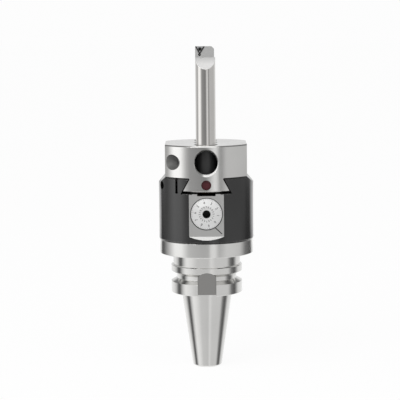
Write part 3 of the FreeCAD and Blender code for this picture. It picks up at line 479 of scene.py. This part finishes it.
engraving_paint, tree, shader = start_material("engraving_paint", Roughness=0.6)
speckle = grain(tree, PAINT_WAVES, FINE_DETAIL)
paint = blend_colors(tree, map_range(tree, speckle, 0.0, 1.0), DARK_PAINT, GREY_PAINT)
tree.links.new(paint, shader.inputs["Base Color"])


def cone_drop(radius):
    """How far the dial's face lies behind its middle at a distance from the dial's axis."""
    return CONE_DEPTH * max(0.0, radius - FACE_RADIUS) / (DIAL_RADIUS - FACE_RADIUS)


def lay_on_dial(mesh):
    """Bend a flat drawing onto the dial: X and Y of the drawing lie across it, and Z stands on it."""
    for vertex in mesh.vertices:
        across, up, proud = vertex.co
        sunk = cone_drop(math.hypot(across, up))
        vertex.co = DIAL_CENTRE + Vector((across, sunk - proud, up))
    mesh.update()


def inlay(name, mesh, body, material):
    """A finished piece that lies on a face and rides on its body."""
    mesh.materials.clear()
    mesh.materials.append(material)
    piece = bpy.data.objects.new(name, mesh)
    bpy.context.scene.collection.objects.link(piece)
    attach(piece, body)
    return piece


def tick_ring_tree():
    """Geometry nodes for a ring of radial lines, every so many of them longer."""
    tree = bpy.data.node_groups.new("tick_ring", "GeometryNodeTree")
    tree.interface.new_socket("Geometry", in_out="OUTPUT", socket_type="NodeSocketGeometry")
    sockets = {}
    for name, kind in (
        ("Count", "Int"), ("Every", "Int"), ("Outer", "Float"), ("Short", "Float"), ("Long", "Float"),
        ("Width", "Float"), ("Height", "Float"), ("Start", "Float"), ("Material", "Material"),
    ):
        socket = tree.interface.new_socket(name, in_out="INPUT", socket_type="NodeSocket" + kind)
        sockets[name] = socket.identifier
    given = tree.nodes.new("NodeGroupInput").outputs
    index = tree.nodes.new("GeometryNodeInputIndex").outputs[0]
    step = math_node(tree, "DIVIDE", 2 * math.pi, given["Count"])
    turn = math_node(tree, "ADD", math_node(tree, "MULTIPLY", index, step), given["Start"])
    is_long = math_node(tree, "COMPARE", math_node(tree, "MODULO", index, given["Every"]), 0.0, 0.1)
    more = math_node(tree, "SUBTRACT", given["Long"], given["Short"])
    length = math_node(tree, "MULTIPLY_ADD", is_long, more, given["Short"])
    middle = math_node(tree, "MULTIPLY_ADD", length, -0.5, given["Outer"])
    place = add(tree, "ShaderNodeCombineXYZ", {
        0: math_node(tree, "MULTIPLY", math_node(tree, "COSINE", turn), middle),
        1: math_node(tree, "MULTIPLY", math_node(tree, "SINE", turn), middle),
    }).outputs[0]
    points = add(tree, "GeometryNodePoints", {"Count": given["Count"], "Position": place}).outputs[0]
    turn_vector = add(tree, "ShaderNodeCombineXYZ", {2: turn}).outputs[0]
    size = add(tree, "ShaderNodeCombineXYZ", {0: length, 1: given["Width"], 2: given["Height"]}).outputs[0]
    bar = add(tree, "GeometryNodeMeshCube", {"Size": (1.0, 1.0, 1.0), "Vertices X": 4}).outputs["Mesh"]
    lines = add(tree, "GeometryNodeInstanceOnPoints", {
        "Points": points, "Instance": bar, "Rotation": turn_vector, "Scale": size,
    }).outputs[0]
    solid = add(tree, "GeometryNodeRealizeInstances", {"Geometry": lines}).outputs[0]
    painted = add(tree, "GeometryNodeSetMaterial", {"Geometry": solid, "Material": given["Material"]})
    output = tree.nodes.new("NodeGroupOutput")
    tree.links.new(painted.outputs[0], output.inputs[0])
    return tree, sockets


def grown(tree, sockets, values):
    """Run a geometry nodes tree once, and return its result as a plain mesh."""
    seed = bpy.data.objects.new("seed", bpy.data.meshes.new("seed"))
    bpy.context.scene.collection.objects.link(seed)
    modifier = seed.modifiers.new("grow", "NODES")
    modifier.node_group = tree
    for name, value in values.items():
        modifier[sockets[name]] = value
    bpy.context.view_layer.update()
    evaluated = seed.evaluated_get(bpy.context.evaluated_depsgraph_get())
    mesh = bpy.data.meshes.new_from_object(evaluated)
    seed.modifiers.remove(modifier)
    bpy.data.objects.remove(seed)
    return mesh


tick_tree, tick_sockets = tick_ring_tree()
ticks = grown(tick_tree, tick_sockets, {
    "Count": 50, "Every": 5, "Outer": DIAL_RADIUS - 0.35 * MM, "Short": 0.9 * MM, "Long": 1.5 * MM,
    "Width": 0.16 * MM, "Height": 2 * INLAY, "Start": INDEX_ANGLE, "Material": engraving_paint,
})
lay_on_dial(ticks)
inlay("dial_lines", ticks, "dial", engraving_paint)


def number_ring(name, count, radius, height, start):
    """Plain numbers round the dial's axis, with their tops outwards."""
    drawings = []
    for step in range(count):
        text = bpy.data.curves.new("number", "FONT")
        text.body = str(step % 10)
        text.size = height / FONT_CAPITAL
        text.align_x = "CENTER"
        text.align_y = "CENTER"
        text.extrude = INLAY
        text.offset = BOLD
        text.resolution_u = 3
        figure = bpy.data.objects.new("number", text)
        bpy.context.scene.collection.objects.link(figure)
        bpy.context.view_layer.update()
        mesh = bpy.data.meshes.new_from_object(figure.evaluated_get(bpy.context.evaluated_depsgraph_get()))
        bpy.data.objects.remove(figure)
        turn = start + 2 * math.pi * step / count
        mesh.transform(Matrix.Rotation(turn - math.pi / 2, 4, "Z") @ Matrix.Translation((0, radius, 0)))
        drawings.append(mesh)
    joined = bpy.data.meshes.new(name)
    vertices, faces = [], []
    for mesh in drawings:
        faces += [[index + len(vertices) for index in face.vertices] for face in mesh.polygons]
        vertices += [vertex.co.copy() for vertex in mesh.vertices]
    joined.from_pydata(vertices, [], faces)
    lay_on_dial(joined)
    return inlay(name, joined, "dial", engraving_paint)


number_ring("dial_numbers", count=10, radius=9.9 * MM, height=2.2 * MM, start=INDEX_ANGLE)
number_ring(
    "dial_small_numbers", count=20, radius=6.1 * MM, height=1.4 * MM,
    start=INDEX_ANGLE + math.radians(9),
)

# ---------------------------------------------------------------------------------------------
# The slide: a round steel block on a dovetail tenon, ground bright, that the feed nut moves.
# Its three bores take the boring bar, and a threaded hole on the left clamps each of them.
# The bores and the grease port's mouth are painted black as shade, and the clamp screws' mouths are painted
# grey as shade.

SLIDE_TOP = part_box("slide")[1].z
BORE_WALL = 10.03 * MM
bar_low, bar_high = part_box("boring_bar")
BORE_OFFSETS = ((bar_low.y + bar_high.y) / 2, 0.0, 24.0 * MM)
CROSS_BORE_HEIGHT = SLIDE_TOP - 14.6 * MM
CLAMP_MOUTH = 6.75 * MM
plug_low, plug_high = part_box("port_plug")
PORT_HEIGHT = (plug_low.z + plug_high.z) / 2
PORT_WALL = plug_high.x + 0.1 * MM
CLAMP_TILT = math.radians(10.0)
SLIDE_LEAN = -0.0105
SLIDE_ROUGHNESS = 0.15
SLIDE_LINES = (30.0, 30.0, 3600.0)
SLIDE_LINE_HEIGHT = 0.0012 * MM
MOUTH_SHADE = (0.20, 0.20, 0.195, 1.0)
BORE_SHADE = (0.010, 0.010, 0.010, 1.0)
MOUTH_METALLIC = 0.4
MOUTH_ROUGHER = 0.4
UP = (0.0, 0.0, 1.0)

slide_steel, tree, shader, tint = steel(
    "slide_steel", BRIGHT_STEEL, SLIDE_ROUGHNESS, SLIDE_LINES, SLIDE_LINE_HEIGHT, stains=0.02,
    Anisotropic=0.3,
)
x, y, _ = coordinates(tree)
# Painted shade: the bores and the port's wall near black, the clamp screws' mouths grey.
shaded_bores = any_of(
    tree,
    all_of(
        tree,
        in_rod(tree, (0.0, 0.0, PORT_HEIGHT), FRONT, PORT_WALL),
        math_node(tree, "LESS_THAN", y, 0.0),
    ),
    in_rod(tree, (0.0, 0.0, CROSS_BORE_HEIGHT), FRONT, BORE_WALL),
    *(in_rod(tree, (0.0, offset, 0.0), UP, BORE_WALL) for offset in BORE_OFFSETS),
)
shaded_mouths = any_of(tree, *(
    in_rod(
        tree, (0.0, offset, CROSS_BORE_HEIGHT),
        (math.cos(side * CLAMP_TILT), math.sin(side * CLAMP_TILT), 0.0), CLAMP_MOUTH,
    )
    for side, offset in zip((1, 0, -1), BORE_OFFSETS)
))
shaded_mouths = all_of(tree, shaded_mouths, math_node(tree, "LESS_THAN", x, 0.0))
inside = blend_colors(tree, shaded_mouths, tint, MOUTH_SHADE)
inside = blend_colors(tree, shaded_bores, inside, BORE_SHADE)
tree.links.new(inside, shader.inputs["Base Color"])
metallic = math_node(tree, "MULTIPLY_ADD", shaded_mouths, MOUTH_METALLIC - 1.0, 1.0)
tree.links.new(metallic, shader.inputs["Metallic"])
polish = shader.inputs["Roughness"].links[0].from_socket
rough = math_node(tree, "MULTIPLY_ADD", shaded_mouths, MOUTH_ROUGHER, polish)
tree.links.new(rough, shader.inputs["Roughness"])
tangent = add(tree, "ShaderNodeTangent", direction_type="RADIAL", axis="Z")
tree.links.new(tangent.outputs[0], shader.inputs["Tangent"])
lean(tree, shader, SLIDE_LEAN)
dress(slide_steel, "slide")

# The grease port's plug: a pressed-in disc of dark red plastic.
DARK_RED = (0.055, 0.006, 0.010, 1.0)
LIGHT_RED = (0.085, 0.011, 0.017, 1.0)
PLASTIC_WAVES = (900.0, 900.0, 900.0)
PLASTIC_HEIGHT = 0.006 * MM
PLASTIC_EDGE = 0.1 * MM

red_plastic, tree, shader = start_material("red_plastic", Roughness=0.45, Specular_IOR_Level=0.35)
speck = grain(tree, PLASTIC_WAVES, FINE_DETAIL)
red = blend_colors(tree, map_range(tree, speck, 0.0, 1.0), DARK_RED, LIGHT_RED)
tree.links.new(red, shader.inputs["Base Color"])
tree.links.new(bump(tree, speck, PLASTIC_HEIGHT, soft_edges(tree, PLASTIC_EDGE)), shader.inputs["Normal"])
dress(red_plastic, "port_plug")

# ---------------------------------------------------------------------------------------------
# The boring bar: a drawn steel bar with a satin nickel finish and a milled half-round head.
# Its shank is painted dark as shade where it lies inside the slide.

BAR_END = bar_high.z
BAR_INSIDE = 8.5 * MM
HEAD_LOW = BAR_END - 20.0 * MM
HEAD_FLAT = BORE_OFFSETS[0] + 0.4 * MM
FLAT_LOW = BAR_END - 9.4 * MM
RUN_OUT_END = HEAD_LOW + 5.0 * MM
FLAT_FACING = -0.999
TOP_FACING = 0.3
OUTSIDE_FACING = -0.95
SHANK_TOP = SLIDE_TOP - 1.0 * MM
SEAT_LOW = BAR_END - 9.0 * MM
SEAT_DEPTHS = (HEAD_FLAT + 0.1 * MM, HEAD_FLAT + 2.6 * MM)
INSERT_CIRCLE = 2.38 * MM
pin_low, pin_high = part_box("insert_screw")
PIN_PLACE = ((pin_low.x + pin_high.x) / 2, 0.0, (pin_low.z + pin_high.z) / 2)
RELIEF_PLACE = (PIN_PLACE[0], 0.0, PIN_PLACE[2] - 2 * INSERT_CIRCLE)
RELIEF_FLOOR = 0.75 * MM
NICKEL = (0.74, 0.725, 0.705)
NICKEL_ROUGHNESS = 0.11
BAR_LINES = (30.0, 30.0, 3200.0)
BAR_LINE_HEIGHT = 0.001 * MM
RUN_OUT_HIGHLIGHT = (0.64, 0.635, 0.63, 1.0)
HEAD_GREY = (0.46, 0.46, 0.455, 1.0)
SEAT_SHADE = (0.03, 0.03, 0.03, 1.0)
RELIEF_SHADE = (0.34, 0.34, 0.335, 1.0)
SHANK_SHADE = (0.036, 0.036, 0.036, 1.0)
MATT_METALLIC = 0.45
MATT_ROUGHER = 0.3

bar_steel, tree, shader, tint = steel(
    "bar_steel", NICKEL, NICKEL_ROUGHNESS, BAR_LINES, BAR_LINE_HEIGHT,
)
x, y, z = coordinates(tree)
# Painted shade: the shank below the slide's top is painted dark.
shade_in_slide = math_node(tree, "LESS_THAN", z, SHANK_TOP)
facing = add(tree, "ShaderNodeTexCoord").outputs["Normal"]
facing = add(tree, "ShaderNodeSeparateXYZ", {0: facing}).outputs
on_head = all_of(
    tree,
    math_node(tree, "GREATER_THAN", z, HEAD_LOW),
    any_of(
        tree,
        math_node(tree, "LESS_THAN", facing[1], FLAT_FACING),
        math_node(tree, "GREATER_THAN", facing[2], TOP_FACING),
    ),
)
# Painted shade: the insert's seat is painted black, and the relief hole's floor a lighter grey shade.
seat_shade_mask = all_of(
    tree,
    math_node(tree, "GREATER_THAN", z, SEAT_LOW),
    math_node(tree, "LESS_THAN", x, 0.0),
    within(tree, y, *SEAT_DEPTHS),
    in_rod(tree, (0.0, BORE_OFFSETS[0], 0.0), UP, BAR_INSIDE),
    math_node(tree, "GREATER_THAN", facing[0], OUTSIDE_FACING),
)
# Painted highlight: the milled run-out is painted lighter towards its bottom, where it faces up.
run_out_highlight = map_range(tree, z, 0.0, 1.0, RUN_OUT_END, FLAT_LOW)
milled = blend_colors(tree, run_out_highlight, RUN_OUT_HIGHLIGHT, HEAD_GREY)
color = blend_colors(tree, on_head, tint, milled)
color = blend_colors(tree, seat_shade_mask, color, SEAT_SHADE)
relief_floor_shade = all_of(tree, seat_shade_mask, in_rod(tree, RELIEF_PLACE, FRONT, RELIEF_FLOOR))
color = blend_colors(tree, relief_floor_shade, color, RELIEF_SHADE)
color = blend_colors(tree, shade_in_slide, color, SHANK_SHADE)
tree.links.new(color, shader.inputs["Base Color"])
matt = any_of(tree, on_head, shade_in_slide)
metallic = math_node(tree, "MULTIPLY_ADD", matt, MATT_METALLIC - 1.0, 1.0)
tree.links.new(metallic, shader.inputs["Metallic"])
polish = shader.inputs["Roughness"].links[0].from_socket
rough = math_node(tree, "MULTIPLY_ADD", matt, MATT_ROUGHER, polish)
tree.links.new(rough, shader.inputs["Roughness"])
dress(bar_steel, "boring_bar")

# The insert: coated carbide, painted dark as shade along the two edges in its seat, and the black screw that
# holds it.
EDGE_BAND = 0.95 * MM
EDGE_TURNS = (math.radians(-30.0), math.radians(-150.0))
PIN_SOCKET = 1.25 * MM
COATED_GREYS = ((0.36, 0.36, 0.365, 1.0), (0.46, 0.46, 0.465, 1.0))
CARBIDE_WAVES = (4000.0, 4000.0, 4000.0)
CARBIDE_HEIGHT = 0.002 * MM
CARBIDE_EDGE = 0.05 * MM
EDGE_SHADE = (0.02, 0.02, 0.021, 1.0)
PIN_SOCKET_SHADES = ((0.004, 0.004, 0.004, 1.0), (0.009, 0.009, 0.009, 1.0))
PIN_GREY = (0.16, 0.16, 0.16, 1.0)
PIN_WAVES = (3000.0, 3000.0, 3000.0)
PIN_HEIGHT = 0.004 * MM
PIN_EDGE = 0.08 * MM

carbide, tree, shader = start_material("carbide", Metallic=0.6, Roughness=0.42)
fine = grain(tree, CARBIDE_WAVES, FINE_DETAIL)
grey = blend_colors(tree, map_range(tree, fine, 0.0, 1.0), *COATED_GREYS)
place = add(tree, "ShaderNodeTexCoord").outputs["Object"]
arm = add(tree, "ShaderNodeVectorMath", {0: place, 1: PIN_PLACE}, operation="SUBTRACT").outputs[0]
# Painted shade along the two edges that lie in the seat.
shade_bands = []
for turn in EDGE_TURNS:
    outwards = (math.cos(turn), 0.0, math.sin(turn))
    reach = add(tree, "ShaderNodeVectorMath", {0: arm, 1: outwards}, operation="DOT_PRODUCT")
    shade_bands.append(math_node(tree, "GREATER_THAN", reach.outputs["Value"], INSERT_CIRCLE - EDGE_BAND))
shaded_grey = blend_colors(tree, any_of(tree, *shade_bands), grey, EDGE_SHADE)
tree.links.new(shaded_grey, shader.inputs["Base Color"])
tree.links.new(bump(tree, fine, CARBIDE_HEIGHT, soft_edges(tree, CARBIDE_EDGE)), shader.inputs["Normal"])
dress(carbide, "insert")

pin_steel, tree, shader = start_material("pin_steel", Roughness=0.5, Specular_IOR_Level=0.3)
fine = grain(tree, PIN_WAVES, FINE_DETAIL)
black = blend_colors(tree, map_range(tree, fine, 0.0, 1.0), *PIN_SOCKET_SHADES)
# Painted shade: the screw's socket is painted near black, the rest of the head dark grey.
in_pin_socket = in_rod(tree, PIN_PLACE, FRONT, PIN_SOCKET)
head_tint = blend_colors(tree, in_pin_socket, PIN_GREY, black)
tree.links.new(head_tint, shader.inputs["Base Color"])
tree.links.new(bump(tree, fine, PIN_HEIGHT, soft_edges(tree, PIN_EDGE)), shader.inputs["Normal"])
dress(pin_steel, "insert_screw")

# ---------------------------------------------------------------------------------------------
# The stand: a pale floor under the shank's end, and a soft studio all round.
# Metal sees a ring of tall soft boxes and dark flags; the ring depends on the height of the ray.

FLOOR_LEVEL = cad_box[0][2] - 0.02 * MM
FLOOR_HALF = 20.0
FLOOR_PAINT = (0.94, 0.94, 0.94, 1.0)
FLOOR_GLOW = 0.94
FLOOR_CORNERS = ((-1, -1), (1, -1), (1, 1), (-1, 1))

floor_mesh = bpy.data.meshes.new("floor")
floor_points = [(side * FLOOR_HALF, back * FLOOR_HALF, FLOOR_LEVEL) for side, back in FLOOR_CORNERS]
floor_mesh.from_pydata(floor_points, [], [(0, 1, 2, 3)])
floor = bpy.data.objects.new("floor", floor_mesh)
bpy.context.scene.collection.objects.link(floor)
floor.visible_glossy = False

floor_paint, tree, shader = start_material("floor_paint", Base_Color=FLOOR_PAINT, Roughness=0.9)
seen = add(tree, "ShaderNodeLightPath").outputs["Is Camera Ray"]
glow = add(tree, "ShaderNodeEmission", {"Strength": 1.0}).outputs[0]
share = math_node(tree, "MULTIPLY", seen, FLOOR_GLOW)
surface = add(tree, "ShaderNodeMixShader", {0: share, 1: shader.outputs[0], 2: glow}).outputs[0]
tree.links.new(surface, tree.nodes["Material Output"].inputs["Surface"])
floor_mesh.materials.append(floor_paint)

# Brightness round the studio, by the angle from the front in degrees, positive to the right.
# Each ring serves one height: the bar and slide, the black body, the head flange, and the shank.
# A stop with a high level is the edge of a soft box, and one with a low level is the edge of a flag.
BAR_RING = (
    (-180, 0.80), (-130, 0.75), (-115, 0.45), (-105, 0.50), (-85, 1.25), (-65, 1.25), (-50, 0.55),
    (-40, 0.35), (0, 0.25), (20, 0.90), (25, 0.85), (35, 0.30), (50, 0.60), (110, 0.60), (140, 0.85),
    (180, 0.80),
)
BODY_SIDES = (
    (-180, 1.40), (-145, 1.30), (-140, 0.15), (-125, 0.35), (-110, 0.45),
    (105, 0.45), (115, 0.20), (130, 0.15), (140, 1.25), (180, 1.40),
)
BODY_SIDE_ANGLE = 104
BODY_FRONT = [stop for stop in BAR_RING if abs(stop[0]) < BODY_SIDE_ANGLE]
BODY_RING = sorted(BODY_FRONT + list(BODY_SIDES))
FLANGE_RING = (
    (-180, 1.15), (-150, 0.75), (-145, 0.10), (-130, 0.10), (-115, 0.40), (-85, 1.10), (-65, 1.05),
    (-45, 0.60), (-10, 0.50), (5, 0.50), (10, 0.85), (20, 0.85), (30, 0.50), (50, 0.75), (90, 0.70),
    (110, 0.20), (140, 0.05), (150, 0.75), (180, 1.15),
)
SHANK_RING = (
    (-180, 1.05), (-135, 0.90), (-120, 0.60), (-110, 0.15), (-100, 0.10), (-85, 0.75), (-75, 1.00),
    (-55, 0.90), (-35, 0.70), (5, 0.65), (15, 0.85), (30, 0.70), (75, 0.70), (90, 0.20), (105, 0.10),
    (115, 0.40), (125, 0.80), (180, 1.05),
)
SWITCHES = ((-12.4, -10.9), (-8.9, -8.1), (-6.6, -5.6))
# Above the rings: bright overhead and towards the camera, dark high up at the back and on the right.
HIGH_RING = ((-180, 0.22), (-98, 0.22), (-90, 1.2), (60, 1.2), (74, 0.22), (180, 0.22))
HIGH_SWITCH = (12.0, 24.0)
OVERHEAD_SWITCH = (72.0, 79.0)
OVERHEAD_LIGHT = 1.2
BACKDROP_LIGHT = 0.98

world = bpy.data.worlds.new("studio")
bpy.context.scene.world = world
world.use_nodes = True
tree = world.node_tree
direction = add(tree, "ShaderNodeTexCoord").outputs["Generated"]
east, north, up = add(tree, "ShaderNodeSeparateXYZ", {0: direction}).outputs
around = math_node(tree, "ARCTAN2", east, math_node(tree, "MULTIPLY", north, -1.0))
around = map_range(tree, around, 0.0, 1.0, -math.pi, math.pi)
height = math_node(tree, "DEGREES", math_node(tree, "ARCSINE", up))


def light_ring(stops):
    ramp = add(tree, "ShaderNodeValToRGB", {0: around})
    elements = ramp.color_ramp.elements
    for number, (angle, light) in enumerate(stops):
        position = (angle + 180.0) / 360.0
        stop = elements[number] if number < 2 else elements.new(position)
        stop.position = position
        stop.color = (light, light, light, 1.0)
    return ramp.outputs[0]


ring = light_ring(SHANK_RING)
for stops, switch in zip((FLANGE_RING, BODY_RING, BAR_RING), SWITCHES):
    ring = blend_colors(tree, map_range(tree, height, 0.0, 1.0, *switch), ring, light_ring(stops))
high = map_range(tree, height, 0.0, 1.0, *HIGH_SWITCH)
overhead = map_range(tree, height, 0.0, 1.0, *OVERHEAD_SWITCH)
studio = blend_colors(tree, high, ring, light_ring(HIGH_RING))
studio = blend_colors(tree, overhead, studio, [OVERHEAD_LIGHT] * 3 + [1.0])
light_path = add(tree, "ShaderNodeLightPath").outputs
studio = blend_colors(tree, light_path["Is Camera Ray"], studio, [BACKDROP_LIGHT] * 3 + [1.0])
background = tree.nodes["Background"]
tree.links.new(studio, background.inputs["Color"])

# One large soft lamp, high on the left, gives the recesses their shadows.
LAMP_PLACE = Vector((-0.9, -1.1, 1.3))
LAMP_TARGET = Vector((0.0, 0.0, 0.08))
LAMP_SIZE = 0.9
LAMP_POWER = 12.0

lamp_data = bpy.data.lights.new("key_lamp", "AREA")
lamp_data.size = LAMP_SIZE
lamp_data.energy = LAMP_POWER
lamp = bpy.data.objects.new("key_lamp", lamp_data)
bpy.context.scene.collection.objects.link(lamp)
lamp.location = LAMP_PLACE
lamp.rotation_euler = (LAMP_TARGET - LAMP_PLACE).to_track_quat("-Z", "Y").to_euler()

# ---------------------------------------------------------------------------------------------
# The camera stands in front, a little above the head, and looks slightly down.
# Its long lens keeps the upright lines nearly parallel.

CAMERA_PLACE = (-5.5 * MM, -1300.0 * MM, 241.0 * MM)
CAMERA_PITCH = math.radians(6.9)
CAMERA_ROLL = math.radians(-0.5)
FOCAL_LENGTH = 132.5
SENSOR_WIDTH = 36.0

camera_data = bpy.data.cameras.new("camera")
camera_data.lens = FOCAL_LENGTH
camera_data.sensor_width = SENSOR_WIDTH
camera = bpy.data.objects.new("camera", camera_data)
bpy.context.scene.collection.objects.link(camera)
turned = Matrix.Rotation(math.pi / 2 - CAMERA_PITCH, 4, "X") @ Matrix.Rotation(CAMERA_ROLL, 4, "Z")
camera.matrix_world = Matrix.Translation(CAMERA_PLACE) @ turned
bpy.context.scene.camera = camera
bpy.context.scene.view_settings.view_transform = "Standard"
